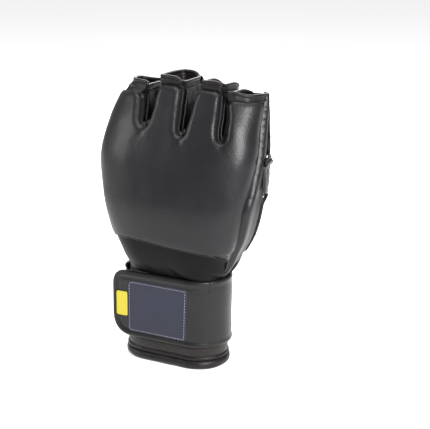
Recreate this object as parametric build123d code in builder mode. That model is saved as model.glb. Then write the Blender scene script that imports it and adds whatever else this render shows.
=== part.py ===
from build123d import *
import os
from math import cos, pi, radians, sin, tan

# A left-hand fingerless grappling glove, standing on its wrist cuff.
# Millimetres. Z runs from the cuff towards the fingers, -Y is the padded back of the hand, +Y is the
# palm, +X is the thumb side. The origin is the middle of the wrist opening, on the floor plane.

os.makedirs("parts", exist_ok=True)

# ---------------------------------------------------------------- driving dimensions
CLEAR = 0.1  # between layers of one body
REACH = 100.0  # longer than any cut has to be

# wrist cuff
CUFF_A = 36.5  # half width of the cuff's leather tube, which has flat faces and round sides
CUFF_B = 19.5  # half depth of the cuff's leather tube
CUFF_FOOT = 1.0
CUFF_TOP = 66.8
CUFF_LEATHER = 1.8
CUFF_LINING = 0.9
HEM_HEIGHT = 7.0
HEM_PROUD = 2.2
HEM_FILLET = 0.9
BAND_FOOT = 8.0
BAND_HEAD = 15.6
BAND_PROUD = 1.2

# wrist strap
STRAP_FOOT = 17.0
STRAP_HEAD = 66.6
STRAP_GAP = 1.7  # from the cuff's leather to the strap's inner face
STRAP_THICK = 2.4
PILE = 0.7  # thickness of the hook patch and of the loop patch
PILE_LEFT = -34.0
PILE_RIGHT = 14.0
PILE_FOOT = 24.0
PILE_HEAD = 60.0
FOLD_ANGLE = 45.0  # degrees round the thumb side, either way, to the strap's two upright folds
FOLD_GAP = 0.3
FLAP_END = -41.0  # the flap's free end
FLAP_CORNER = 9.0
BINDING_WIDTH = 4.0
BINDING_RIGHT = 27.0
TRIM_THICK = 0.7  # binding, label patch and size tag stand this far off the strap
LABEL_LEFT = -28.0
LABEL_RIGHT = 17.0
LABEL_FOOT = 22.0
LABEL_HEAD = 60.0
TAG_LEFT = -36.8
TAG_RIGHT = -28.2
TAG_FOOT = 33.0
TAG_HEAD = 51.0

# the hand's outer form, level by level:
# height, middle x, middle y, half width, depth to the back, depth to the palm, thickness of the back
HAND_LEVELS = (
    (60, 0.5, 0.0, 36.5, 20.5, 20.5, 6.0),
    (78, 2.0, 1.5, 43.5, 28.0, 29.0, 9.0),
    (98, 1.5, 4.5, 53.5, 33.0, 33.0, 13.0),
    (122, 0.0, 8.5, 60.5, 36.0, 32.0, 15.0),
    (146, -1.5, 13.5, 62.0, 36.0, 28.0, 16.0),
    (170, -1.5, 20.0, 59.5, 33.0, 21.5, 15.0),
    (206, 0.5, 32.0, 53.0, 24.5, 7.0, 12.0),
)
HAND_ROUND = 2.7  # how square the hand's oval is, 2 being an ellipse
HAND_FLATS = 12  # flats round the hand's section
COVER = 1.2  # leather over the back
FABRIC = 1.0  # lining under the back pad
PALM_LEATHER = 1.6
SIDE_THICK = 5.0  # cover, foam and lining together where they thin out to the side seams
SEAM = [(40, -5), (104, -8), (142, 7), (215, 40)]  # the side seams: height, y
STRIP_DEPTH = 13.0  # the side strips run this far behind the side seams
WRIST_HEAD = 78.0  # the soft wrist crease runs from the cuff's top to here
WRIST_PANEL_HEAD = 88.0
PALM_PANEL_FOOT = 148.0

# palm openings and the band between them, as corners in front view: x, height
PALM_OPENING = ((52, 141), (52, 150), (-34, 161), (-40, 148), (-36, 116), (-8, 92))
THUMB_HOLE = ((50, 118), (14, 88), (20, 84.5), (42, 86), (50, 96))
BAND_CORNERS = ((90, 148), (90, 121), (52, 121), (12, 86), (-12, 86), (-12, 94), (20, 148))
OPENING_ROUND = 3.0
EDGE_BINDING = 3.0
EDGE_PROUD = 0.5

# fingers
KNUCKLE_Y = 11.0  # the four finger hinges' line
KNUCKLE_Z = 167.0
KNUCKLE_GAP = 0.6
FINGER_BEND = 29.0  # degrees of room cut for the finger hinges' 28 degrees
SLOT_X = (-21.5, 9.0, 38.5)
SLOT_WIDTH = 5.0
SIDE_WALL = 1.3
RIM_HEIGHT = 5.0
FINGER_SEAM = ((160, 2), (215, 20))  # where pad cover and finger loop meet between the fingers: height, y
OUTER_X = 46.0  # beyond this the hand's side seams part cover and loop
FINGERS = (  # name, lowest x, highest x, height of the rim
    ("pinky", -REACH, SLOT_X[0] - SLOT_WIDTH / 2, 195.0),
    ("ring", SLOT_X[0] + SLOT_WIDTH / 2, SLOT_X[1] - SLOT_WIDTH / 2, 201.5),
    ("middle", SLOT_X[1] + SLOT_WIDTH / 2, SLOT_X[2] - SLOT_WIDTH / 2, 201.0),
    ("index", SLOT_X[2] + SLOT_WIDTH / 2, REACH, 194.0),
)


# ---------------------------------------------------------------- outlines and forms
def hand_section(mid_x, mid_y, half_width, to_back, to_palm):
    """Corners of the hand's section: flats at fixed angles, all touching one rounded oval.

    The flats of two levels are parallel, so the faces between them are plane.
    """
    dual = HAND_ROUND / (HAND_ROUND - 1)
    angles = [2 * pi * step / HAND_FLATS for step in range(HAND_FLATS)]
    reaches = []
    for angle in angles:
        depth = to_palm if sin(angle) > 0 else to_back
        reach = ((half_width * abs(cos(angle))) ** dual + (depth * abs(sin(angle))) ** dual) ** (1 / dual)
        reaches.append(reach)
    corners = []
    for step, angle in enumerate(angles):
        after = (step + 1) % HAND_FLATS
        turn = sin(angles[after] - angle)
        x = (reaches[step] * sin(angles[after]) - reaches[after] * sin(angle)) / turn
        y = (reaches[after] * cos(angle) - reaches[step] * cos(angles[after])) / turn
        corners.append((mid_x + x, mid_y + y))
    return corners


def hand_form(inset=0.0, hollow=False):
    """The hand's outer form drawn in by inset, or its hollow grown by minus inset."""
    with BuildPart() as form:
        for height, mid_x, mid_y, half_width, to_back, to_palm, back in HAND_LEVELS:
            side = inset + (SIDE_THICK if hollow else 0)
            rear = inset + (back if hollow else 0)
            front = inset + (PALM_LEATHER if hollow else 0)
            with BuildSketch(Plane.XY.offset(height)):
                corners = hand_section(mid_x, mid_y, half_width - side, to_back - rear, to_palm - front)
                Polygon(*corners, align=None)
        loft(ruled=True)
    return form.part


def cuff_sleeve(outer, inner, foot, head):
    """A tube round the wrist between two offsets of the cuff's outline."""
    with BuildPart() as sleeve:
        with BuildSketch(Plane.XY.offset(foot)):
            SlotOverall(2 * (CUFF_A + outer), 2 * (CUFF_B + outer))
            SlotOverall(2 * (CUFF_A + inner), 2 * (CUFF_B + inner), mode=Mode.SUBTRACT)
        extrude(amount=head - foot)
    return sleeve.part


def front_prism(corners, corner_round=0.0, grow=0.0, from_y=-REACH, to_y=REACH):
    """A bar along Y over an outline given as x and height."""
    with BuildPart() as prism:
        with BuildSketch(Plane.XZ.offset(-to_y)):
            Polygon(*corners, align=None)
            if grow:
                offset(amount=grow, kind=Kind.INTERSECTION)
            if corner_round:
                fillet(vertices(), radius=corner_round)
        extrude(amount=to_y - from_y)
    return prism.part


def side_prism(corners, from_x=-REACH, to_x=REACH):
    """A bar along X over an outline given as height and y."""
    with BuildPart() as prism:
        with BuildSketch(Plane.YZ.offset(from_x)):
            Polygon(*[(y, height) for height, y in corners], align=None)
        extrude(amount=to_x - from_x)
    return prism.part


def block(x0, x1, y0, y1, z0, z1):
    with BuildPart() as box:
        with BuildSketch(Plane.XY.offset(z0)):
            with Locations(((x0 + x1) / 2, (y0 + y1) / 2)):
                Rectangle(x1 - x0, y1 - y0)
        extrude(amount=z1 - z0)
    return box.part


def slice_between(z0, z1):
    return block(-REACH, REACH, -REACH, REACH, z0, z1)


def save(piece, node):
    piece.label = node
    export_step(piece, f"parts/{node}.step")


OUTER = hand_form()
OUTER_GROWN = hand_form(-EDGE_PROUD)
UNDER_COVER = hand_form(COVER)
FOAM_FACE = hand_form(COVER + CLEAR)
UNDER_PALM = hand_form(PALM_LEATHER)
FOAM_BACK = hand_form(-FABRIC - CLEAR, hollow=True)
LINING_FACE = hand_form(-FABRIC, hollow=True)
HOLLOW = hand_form(hollow=True)

BACK_ZONE = side_prism(SEAM + [(SEAM[-1][0], -REACH), (SEAM[0][0], -REACH)])
STRIP_ZONE = side_prism(SEAM + [(height, y + STRIP_DEPTH) for height, y in reversed(SEAM)])
HAND_SLICE = slice_between(WRIST_HEAD, KNUCKLE_Z)

# ---------------------------------------------------------------- wrist cuff
with BuildPart() as cuff_shell:
    add(cuff_sleeve(0, -CUFF_LEATHER, CUFF_FOOT, CUFF_TOP))
save(cuff_shell.part, "cuff_shell")

with BuildPart() as cuff_lining:
    lining_face = -CUFF_LEATHER - CLEAR
    add(cuff_sleeve(lining_face, lining_face - CUFF_LINING, CUFF_FOOT, CUFF_TOP))
save(cuff_lining.part, "cuff_lining")

with BuildPart() as cuff_hem:
    with BuildSketch():
        SlotOverall(2 * (CUFF_A + HEM_PROUD), 2 * (CUFF_B + HEM_PROUD))
    extrude(amount=HEM_HEIGHT)
    fillet(faces().filter_by(Axis.Z).edges(), radius=HEM_FILLET)
    with BuildSketch():
        SlotOverall(2 * (CUFF_A + CLEAR), 2 * (CUFF_B + CLEAR))
    extrude(amount=HEM_HEIGHT, mode=Mode.SUBTRACT)
save(cuff_hem.part, "cuff_hem")

with BuildPart() as cuff_band:
    add(cuff_sleeve(BAND_PROUD, CLEAR, BAND_FOOT, BAND_HEAD))
save(cuff_band.part, "cuff_band")

with BuildPart() as cuff_loop_patch:
    add(cuff_sleeve(PILE, CLEAR, PILE_FOOT, PILE_HEAD))
    add(block(PILE_LEFT, PILE_RIGHT, -REACH, 0, 0, REACH), mode=Mode.INTERSECT)
save(cuff_loop_patch.part, "cuff_loop_patch")

# ---------------------------------------------------------------- wrist strap
STRAP_FACE = STRAP_GAP + STRAP_THICK
side_mid_x = CUFF_A - CUFF_B  # the middle of the cuff's round side
fold_x = side_mid_x + (CUFF_B + STRAP_FACE) * cos(radians(FOLD_ANGLE))
fold_y = (CUFF_B + STRAP_FACE) * sin(radians(FOLD_ANGLE))
print(f"strap folds at x {fold_x:.3f}, y +-{fold_y:.3f}")


def thumb_side_zone(widen):
    """A wedge between the strap's two folds, widened past them by the given distance."""
    apex = side_mid_x - widen / sin(radians(FOLD_ANGLE))
    with BuildPart() as wedge:
        with BuildSketch(Plane.XY):
            Polygon((apex, 0), (apex + REACH, -REACH), (apex + REACH, REACH), align=None)
        extrude(amount=REACH)
    return wedge.part


SIDE_ZONE = thumb_side_zone(-FOLD_GAP / 2)
FOLDS_ZONE = thumb_side_zone(FOLD_GAP / 2)

with BuildPart() as strap_side:
    add(cuff_sleeve(STRAP_FACE, STRAP_GAP, STRAP_FOOT, STRAP_HEAD))
    add(SIDE_ZONE, mode=Mode.INTERSECT)
save(strap_side.part, "strap_side")

with BuildPart() as strap_root:
    add(cuff_sleeve(STRAP_FACE, STRAP_GAP, STRAP_FOOT, STRAP_HEAD))
    add(FOLDS_ZONE, mode=Mode.SUBTRACT)
    add(block(-REACH, REACH, 0, REACH, 0, REACH), mode=Mode.INTERSECT)
save(strap_root.part, "strap_root")


def flap_sheet(inner, outer):
    """A sheet over the back of the wrist: round the thumb side, then straight on past the cuff."""
    flat_y = -(CUFF_B + inner)
    with BuildPart() as sheet:
        add(cuff_sleeve(outer, inner, 0, REACH))
        add(block(0, REACH, -REACH, 0, 0, REACH), mode=Mode.INTERSECT)
        add(FOLDS_ZONE, mode=Mode.SUBTRACT)
        add(block(FLAP_END, 0, flat_y - (outer - inner), flat_y, 0, REACH))
    return sheet.part


def flap_profile(inset):
    """A bar along Y over the flap's outline, drawn in by inset, with its two free corners rounded."""
    left = FLAP_END + inset
    foot = STRAP_FOOT + inset
    head = STRAP_HEAD - inset
    with BuildPart() as profile:
        with BuildSketch(Plane.XZ):
            with Locations(((left + REACH) / 2, (foot + head) / 2)):
                Rectangle(REACH - left, head - foot)
            fillet(vertices().group_by(Axis.X)[0], radius=FLAP_CORNER - inset)
        extrude(amount=REACH)
    return profile.part


with BuildPart() as strap_flap:
    add(flap_sheet(STRAP_GAP, STRAP_FACE))
    add(flap_profile(0), mode=Mode.INTERSECT)
save(strap_flap.part, "strap_flap")

TRIM_FACE = STRAP_FACE + CLEAR
with BuildPart() as strap_binding:
    add(flap_sheet(TRIM_FACE, TRIM_FACE + TRIM_THICK))
    add(flap_profile(0), mode=Mode.INTERSECT)
    add(flap_profile(BINDING_WIDTH), mode=Mode.SUBTRACT)
    add(block(-REACH, BINDING_RIGHT, -REACH, REACH, 0, REACH), mode=Mode.INTERSECT)
save(strap_binding.part, "strap_binding")

with BuildPart() as strap_label:
    add(flap_sheet(TRIM_FACE, TRIM_FACE + TRIM_THICK))
    add(block(LABEL_LEFT, LABEL_RIGHT, -REACH, 0, LABEL_FOOT, LABEL_HEAD), mode=Mode.INTERSECT)
save(strap_label.part, "strap_label")

with BuildPart() as strap_tag:
    add(flap_sheet(TRIM_FACE, TRIM_FACE + TRIM_THICK))
    add(block(TAG_LEFT, TAG_RIGHT, -REACH, 0, TAG_FOOT, TAG_HEAD), mode=Mode.INTERSECT)
save(strap_tag.part, "strap_tag")

with BuildPart() as strap_hook_patch:
    add(flap_sheet(STRAP_GAP - CLEAR - PILE, STRAP_GAP - CLEAR))
    add(block(PILE_LEFT, PILE_RIGHT, -REACH, 0, PILE_FOOT, PILE_HEAD), mode=Mode.INTERSECT)
save(strap_hook_patch.part, "strap_hook_patch")

# ---------------------------------------------------------------- back of the hand
with BuildPart() as back_cover:
    add(OUTER)
    add(UNDER_COVER, mode=Mode.SUBTRACT)
    add(BACK_ZONE, mode=Mode.INTERSECT)
    add(slice_between(WRIST_PANEL_HEAD + CLEAR, KNUCKLE_Z), mode=Mode.INTERSECT)
save(back_cover.part, "back_cover")

with BuildPart() as wrist_panel:
    add(OUTER)
    add(UNDER_COVER, mode=Mode.SUBTRACT)
    add(BACK_ZONE, mode=Mode.INTERSECT)
    add(slice_between(WRIST_HEAD, WRIST_PANEL_HEAD), mode=Mode.INTERSECT)
save(wrist_panel.part, "wrist_panel")

with BuildPart() as back_pad:
    add(FOAM_FACE)
    add(FOAM_BACK, mode=Mode.SUBTRACT)
    add(BACK_ZONE, mode=Mode.INTERSECT)
    add(HAND_SLICE, mode=Mode.INTERSECT)
save(back_pad.part, "back_pad")

with BuildPart() as back_lining:
    add(LINING_FACE)
    add(HOLLOW, mode=Mode.SUBTRACT)
    add(BACK_ZONE, mode=Mode.INTERSECT)
    add(HAND_SLICE, mode=Mode.INTERSECT)
save(back_lining.part, "back_lining")

with BuildPart() as wrist_crease:
    add(OUTER)
    add(UNDER_PALM, mode=Mode.SUBTRACT)
    add(slice_between(CUFF_TOP + CLEAR, WRIST_HEAD - CLEAR), mode=Mode.INTERSECT)
save(wrist_crease.part, "wrist_crease")

# ---------------------------------------------------------------- sides and palm
with BuildPart() as palm_skin:
    add(OUTER)
    add(UNDER_PALM, mode=Mode.SUBTRACT)
    add(HAND_SLICE, mode=Mode.INTERSECT)
    add(BACK_ZONE, mode=Mode.SUBTRACT)

with BuildPart() as side_strips:
    add(palm_skin.part)
    add(STRIP_ZONE, mode=Mode.INTERSECT)

with BuildPart() as thumb_side_strip:
    add(side_strips.part)
    add(block(0, REACH, -REACH, REACH, 0, 2 * REACH), mode=Mode.INTERSECT)
save(thumb_side_strip.part, "thumb_side_strip")

with BuildPart() as little_side_strip:
    add(side_strips.part)
    add(block(-REACH, 0, -REACH, REACH, 0, 2 * REACH), mode=Mode.INTERSECT)
save(little_side_strip.part, "little_side_strip")

palm_opening = front_prism(PALM_OPENING, OPENING_ROUND, from_y=0)
palm_opening_bound = front_prism(PALM_OPENING, OPENING_ROUND + EDGE_BINDING, EDGE_BINDING, from_y=0)
thumb_hole = front_prism(THUMB_HOLE, OPENING_ROUND, from_y=0)
thumb_hole_bound = front_prism(THUMB_HOLE, OPENING_ROUND + EDGE_BINDING, EDGE_BINDING, from_y=0)
band_zone = front_prism(BAND_CORNERS, from_y=0)

with BuildPart() as palm_leather:
    add(palm_skin.part)
    add(STRIP_ZONE, mode=Mode.SUBTRACT)
    add(palm_opening_bound, mode=Mode.SUBTRACT)
    add(thumb_hole_bound, mode=Mode.SUBTRACT)

with BuildPart() as palm_finger_panel:
    add(palm_leather.part)
    add(slice_between(PALM_PANEL_FOOT, KNUCKLE_Z), mode=Mode.INTERSECT)
save(palm_finger_panel.part, "palm_finger_panel")

with BuildPart() as thumb_band:
    add(palm_leather.part)
    add(band_zone, mode=Mode.INTERSECT)
save(thumb_band.part, "thumb_band")

with BuildPart() as palm_heel_panel:
    add(palm_leather.part)
    add(slice_between(0, PALM_PANEL_FOOT), mode=Mode.INTERSECT)
    add(band_zone, mode=Mode.SUBTRACT)
save(palm_heel_panel.part, "palm_heel_panel")

for node, bound, hole in (
    ("palm_opening_binding", palm_opening_bound, palm_opening),
    ("thumb_hole_binding", thumb_hole_bound, thumb_hole),
):
    with BuildPart() as edge_binding:
        add(OUTER_GROWN)
        add(UNDER_PALM, mode=Mode.SUBTRACT)
        add(STRIP_ZONE, mode=Mode.SUBTRACT)
        add(bound, mode=Mode.INTERSECT)
        add(hole, mode=Mode.SUBTRACT)
        add(slice_between(WRIST_HEAD, KNUCKLE_Z), mode=Mode.INTERSECT)
    save(edge_binding.part, node)

# ---------------------------------------------------------------- fingers
rise = tan(radians(FINGER_BEND)) * (REACH - KNUCKLE_Y)
base_z = KNUCKLE_Z + KNUCKLE_GAP
# what turns with a finger: level over the back, rising over the palm side so that the finger can bend
FINGER_ZONE = side_prism(
    (
        (base_z, -REACH),
        (base_z, KNUCKLE_Y),
        (base_z + rise, REACH),
        (3 * REACH, REACH),
        (3 * REACH, -REACH),
    )
)
CREASE_ZONE = side_prism(
    (
        (base_z, KNUCKLE_Y + 2),
        (base_z + rise - CLEAR, REACH + 2),
        (base_z, REACH + 2),
    )
)
with BuildPart() as finger_back_zone:
    add(side_prism(list(FINGER_SEAM) + [(FINGER_SEAM[1][0], -REACH), (FINGER_SEAM[0][0], -REACH)]))
    add(side_prism(SEAM + [(SEAM[-1][0], -REACH), (SEAM[0][0], -REACH)], OUTER_X, REACH))
    add(side_prism(SEAM + [(SEAM[-1][0], -REACH), (SEAM[0][0], -REACH)], -REACH, -OUTER_X))

for name, low_x, high_x, rim_z in FINGERS:
    inner_low = low_x + SIDE_WALL
    inner_high = high_x - SIDE_WALL
    rim_foot = rim_z - RIM_HEIGHT
    tube = block(low_x, high_x, -REACH, REACH, 0, rim_z)
    bore = block(inner_low, inner_high, -REACH, REACH, 0, 3 * REACH)
    body = slice_between(KNUCKLE_Z, rim_foot - CLEAR)

    with BuildPart() as finger_cover:
        add(OUTER)
        add(tube, mode=Mode.INTERSECT)
        add(UNDER_COVER & bore, mode=Mode.SUBTRACT)
        add(finger_back_zone.part, mode=Mode.INTERSECT)
        add(body, mode=Mode.INTERSECT)
        add(FINGER_ZONE, mode=Mode.INTERSECT)
    save(finger_cover.part, f"{name}_cover")

    with BuildPart() as finger_pad:
        add(FOAM_FACE)
        inside = block(inner_low + CLEAR, inner_high - CLEAR, -REACH, REACH, 0, rim_foot - CLEAR)
        add(inside, mode=Mode.INTERSECT)
        add(FOAM_BACK, mode=Mode.SUBTRACT)
        add(finger_back_zone.part, mode=Mode.INTERSECT)
        add(FINGER_ZONE, mode=Mode.INTERSECT)
    save(finger_pad.part, f"{name}_pad")

    with BuildPart() as finger_sleeve:
        add(OUTER)
        add(tube, mode=Mode.INTERSECT)
        add(UNDER_PALM & bore, mode=Mode.SUBTRACT)

    with BuildPart() as finger_loop:
        add(finger_sleeve.part)
        add(finger_back_zone.part, mode=Mode.SUBTRACT)
        add(body, mode=Mode.INTERSECT)
        add(FINGER_ZONE, mode=Mode.INTERSECT)
    save(finger_loop.part, f"{name}_loop")

    with BuildPart() as finger_rim:
        add(finger_sleeve.part)
        add(slice_between(rim_foot, rim_z), mode=Mode.INTERSECT)
        add(FINGER_ZONE, mode=Mode.INTERSECT)
    save(finger_rim.part, f"{name}_rim")

    with BuildPart() as finger_crease:
        add(finger_sleeve.part)
        add(finger_back_zone.part, mode=Mode.SUBTRACT)
        add(slice_between(base_z, rim_foot - CLEAR), mode=Mode.INTERSECT)
        add(CREASE_ZONE, mode=Mode.INTERSECT)
    save(finger_crease.part, f"{name}_crease")
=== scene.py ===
"""A fingerless grappling glove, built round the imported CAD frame. Lengths in the tables are millimetres."""
import math

import bpy
import numpy as np
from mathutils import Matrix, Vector, noise
from mathutils.geometry import delaunay_2d_cdt


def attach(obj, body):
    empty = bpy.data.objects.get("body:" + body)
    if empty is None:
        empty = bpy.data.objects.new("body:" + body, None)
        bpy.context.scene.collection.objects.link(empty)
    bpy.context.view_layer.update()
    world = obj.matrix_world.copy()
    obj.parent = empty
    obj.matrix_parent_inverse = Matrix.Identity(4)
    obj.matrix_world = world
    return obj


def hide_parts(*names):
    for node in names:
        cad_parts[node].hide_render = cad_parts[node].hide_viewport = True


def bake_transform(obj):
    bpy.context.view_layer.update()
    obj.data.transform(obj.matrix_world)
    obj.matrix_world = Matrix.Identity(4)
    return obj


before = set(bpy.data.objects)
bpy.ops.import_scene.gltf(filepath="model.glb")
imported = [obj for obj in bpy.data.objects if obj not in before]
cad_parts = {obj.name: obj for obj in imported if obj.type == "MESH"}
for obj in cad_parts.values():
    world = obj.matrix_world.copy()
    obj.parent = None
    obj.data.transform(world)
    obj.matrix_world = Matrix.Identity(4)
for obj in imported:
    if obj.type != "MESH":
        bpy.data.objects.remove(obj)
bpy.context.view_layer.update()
MM = 0.001

# ------------------------------------------------------------------ the glove's form
# height, mid x, mid y, half width, depth to the back, depth to the palm, thickness of the padded back
HAND_LEVELS = np.array([
    (50, 0.5, 0, 36.5, 20.5, 20.5, 5),
    (60, 0.5, 0, 36.5, 20.5, 20.5, 5),
    (78, 2, 1.5, 43.5, 28, 29, 8),
    (98, 1.5, 4.5, 53.5, 33, 33, 12),
    (122, 0, 8.5, 60.5, 36, 32, 15),
    (146, -1.5, 13.5, 62, 36, 28, 16),
    (170, -1.5, 20, 59.5, 33, 21.5, 15),
    (186, 0.2, 25.4, 56.6, 28.5, 14.5, 13),
    (197, 3.2, 29, 51.6, 26, 10.5, 12),
    (208, 4.5, 33, 48, 24, 6.5, 12),
], float)
SQUARENESS = 2.8
SEAM_HEIGHT = [50, 77, 104, 114, 143.5, 163.5, 186, 210]
SEAM_Y = [-3, -3, -8, -9, 6, 15, 25, 35]
CHART_WIDTH = 150   # half the glove's girth at the knuckles, the width of the flat pattern


def monotone(xs, ys):
    """A smooth curve through the points that never overshoots them."""
    xs, ys = np.asarray(xs, float), np.asarray(ys, float)
    h = np.diff(xs)
    d = np.diff(ys) / h
    m = np.zeros(len(xs))
    m[0], m[-1] = d[0], d[-1]
    for i in range(1, len(xs) - 1):
        if d[i - 1] * d[i] > 0:
            w1, w2 = 2 * h[i] + h[i - 1], h[i] + 2 * h[i - 1]
            m[i] = (w1 + w2) / (w1 / d[i - 1] + w2 / d[i])

    def curve(x):
        x = np.clip(x, xs[0], xs[-1])
        i = np.clip(np.searchsorted(xs, x) - 1, 0, len(h) - 1)
        t = (x - xs[i]) / h[i]
        return (
            (2 * t**3 - 3 * t**2 + 1) * ys[i]
            + (t**3 - 2 * t**2 + t) * h[i] * m[i]
            + (3 * t**2 - 2 * t**3) * ys[i + 1]
            + (t**3 - t**2) * h[i] * m[i + 1]
        )

    return curve


class Hull:
    """A tube whose outline changes with height.

    s is 0 at the back, 1 round the thumb side to the palm and -1 round the other side.
    """

    def __init__(self, rows, power):
        self.z = np.arange(50, 212, 1.0)
        self.mid_x, self.mid_y, self.half, self.back, self.palm = (
            monotone(rows[:, 0], rows[:, k])(self.z) for k in range(1, 6)
        )
        self.power = power
        self.s = np.linspace(0, 1, 301)
        t = np.linspace(0, math.pi, 1441)
        sin, cos = np.sin(t), np.cos(t)
        self.X, self.Y = [], []
        for i in range(len(self.z)):
            depth = np.where(cos > 0, self.back[i], self.palm[i])
            x = self.half[i] * np.abs(sin) ** (2 / power)
            y = -depth * np.sign(cos) * np.abs(cos) ** (2 / power)
            run = np.concatenate([[0], np.cumsum(np.hypot(np.diff(x), np.diff(y)))])
            run /= run[-1]
            self.X.append(np.interp(self.s, run, x))
            self.Y.append(np.interp(self.s, run, y))
        self.X, self.Y = np.array(self.X), np.array(self.Y)

    def row(self, z):
        f = np.clip(np.asarray(z, float) - self.z[0], 0, len(self.z) - 1.001)
        i = f.astype(int)
        return i, f - i

    def mid(self, z):
        return np.interp(z, self.z, self.mid_x), np.interp(z, self.z, self.mid_y)

    def point(self, s, z):
        s, z = np.broadcast_arrays(np.asarray(s, float), np.asarray(z, float))
        i, u = self.row(z)
        g = np.clip(np.abs(s), 0, 1) * (len(self.s) - 1.001)
        j = g.astype(int)
        v = g - j

        def at(T):
            low = T[i, j] * (1 - v) + T[i, j + 1] * v
            high = T[i + 1, j] * (1 - v) + T[i + 1, j + 1] * v
            return low * (1 - u) + high * u

        mx, my = self.mid(z)
        return np.stack([mx + np.sign(s) * at(self.X), my + at(self.Y), z], -1)

    def normal(self, s, z):
        along = self.point(s + 0.012, z) - self.point(s - 0.012, z)
        up = self.point(s, z + 2) - self.point(s, z - 2)
        n = np.cross(along, up)
        return n / np.linalg.norm(n, axis=-1, keepdims=True)

    def s_at_x(self, x, z, palm=False):
        i = int(round(min(max(z, 50), 210) - 50))
        dx = x - self.mid_x[i]
        k = int(self.X[i].argmax())
        if palm:
            a = np.interp(abs(dx), self.X[i][k:][::-1], self.s[k:][::-1])
        else:
            a = np.interp(abs(dx), self.X[i][: k + 1], self.s[: k + 1])
        return math.copysign(a, dx)

    def s_at_y(self, y, z):
        i = int(round(min(max(z, 50), 210) - 50))
        return float(np.interp(y - self.mid_y[i], self.Y[i], self.s))


OUTER = Hull(HAND_LEVELS, SQUARENESS)
inner_rows = HAND_LEVELS.copy()
inner_rows[:, 3] -= 5
inner_rows[:, 4] -= inner_rows[:, 6]
inner_rows[:, 5] -= 2
INNER = Hull(inner_rows, SQUARENESS)
seam_y = monotone(SEAM_HEIGHT, SEAM_Y)


def hull_chart(P):
    P = np.asarray(P, float)
    s, z = P[:, 0] / CHART_WIDTH, P[:, 1]
    return OUTER.point(s, z), OUTER.normal(s, z)


def back(x, z):
    return (OUTER.s_at_x(x, z) * CHART_WIDTH, z)


def palm(x, z):
    return (OUTER.s_at_x(x, z, palm=True) * CHART_WIDTH, z)


def side(y, z, sign=1):
    return (sign * OUTER.s_at_y(y, z) * CHART_WIDTH, z)


def seam(z, sign=1, beyond=0.0):
    """A point on the side seam at that height, or that far round from it towards the palm."""
    a = OUTER.s_at_y(float(seam_y(z)), z)
    i = int(round(min(max(z, 50), 210) - 50))
    run = np.hypot(np.diff(OUTER.X[i]), np.diff(OUTER.Y[i])).sum()
    return (sign * (a + beyond / run) * CHART_WIDTH, z)


# ------------------------------------------------------------------ mesh helpers
def resample(points, step, closed=True):
    p = np.asarray(points, float)
    if closed:
        p = np.vstack([p, p[:1]])
    run = np.concatenate([[0], np.cumsum(np.linalg.norm(np.diff(p, axis=0), axis=1))])
    n = max(8, int(round(run[-1] / step)))
    t = np.linspace(0, run[-1], n + 1)
    out = np.stack([np.interp(t, run, p[:, k]) for k in range(p.shape[1])], -1)
    return out[:-1] if closed else out


def rounded(points, radius):
    """The polygon with its corners rounded; radius is one number or one for each corner."""
    p = [np.asarray(q, float) for q in points]
    r = radius if hasattr(radius, "__len__") else [radius] * len(p)
    out = []
    for i, q in enumerate(p):
        a, b = p[i - 1] - q, p[(i + 1) % len(p)] - q
        la, lb = np.linalg.norm(a), np.linalg.norm(b)
        cut = min(r[i], la * 0.45, lb * 0.45)
        if cut < 0.05:
            out.append(q)
            continue
        start, end = q + a / la * cut, q + b / lb * cut
        for t in np.linspace(0, 1, 7):
            out.append((1 - t) ** 2 * start + 2 * t * (1 - t) * q + t**2 * end)
    return np.array(out)


def inside(P, poly):
    x, y = P[:, 0], P[:, 1]
    hit = np.zeros(len(P), bool)
    a, b = poly, np.roll(poly, -1, axis=0)
    for (x1, y1), (x2, y2) in zip(a, b):
        if y1 == y2:
            continue
        cross = (y1 > y) != (y2 > y)
        hit ^= cross & (x < (x2 - x1) * (y - y1) / (y2 - y1) + x1)
    return hit


def distance(P, loop):
    best = np.full(len(P), 1e9)
    for p, q in zip(loop, np.roll(loop, -1, axis=0)):
        d = q - p
        t = np.clip(((P - p) @ d) / max(d @ d, 1e-12), 0, 1)
        best = np.minimum(best, np.hypot(*(P - p - t[:, None] * d).T))
    return best


def wobble(V, scale, amount, seed=0.0):
    """Smooth noise along a point list, in millimetres."""
    return np.array([noise.noise(Vector(v) / scale + Vector((seed, 2 * seed, -seed))) for v in V]) * amount


def make(name, verts, faces, look, normals=None):
    mesh = bpy.data.meshes.new(name)
    mesh.from_pydata((np.asarray(verts) * MM).tolist(), [], [list(map(int, f)) for f in faces])
    mesh.validate()
    mesh.polygons.foreach_set("use_smooth", [True] * len(mesh.polygons))
    if normals is not None and len(mesh.vertices) == len(normals):
        mesh.normals_split_custom_set_from_vertices(normals.tolist())
    o = bpy.data.objects.new(name, mesh)
    o.data.materials.append(look)
    bpy.context.scene.collection.objects.link(o)
    return o


def grid_faces(rows, columns, round_columns=False, round_rows=False):
    """Quads of a grid of points, which can close on itself either way."""
    faces = []
    for j in range(rows if round_rows else rows - 1):
        for q in range(columns if round_columns else columns - 1):
            m, k = (q + 1) % columns, (j + 1) % rows
            faces.append([j * columns + q, j * columns + m, k * columns + m, k * columns + q])
    return faces


def vertex_normals(V, F):
    """Normals of the whole mesh, so that the pieces it is split into shade as one."""
    total = np.zeros_like(V)
    facing = np.cross(V[F[:, 1]] - V[F[:, 0]], V[F[:, 2]] - V[F[:, 0]])
    for k in range(3):
        np.add.at(total, F[:, k], facing)
    return total / (np.linalg.norm(total, axis=1)[:, None] + 1e-12)


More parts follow.
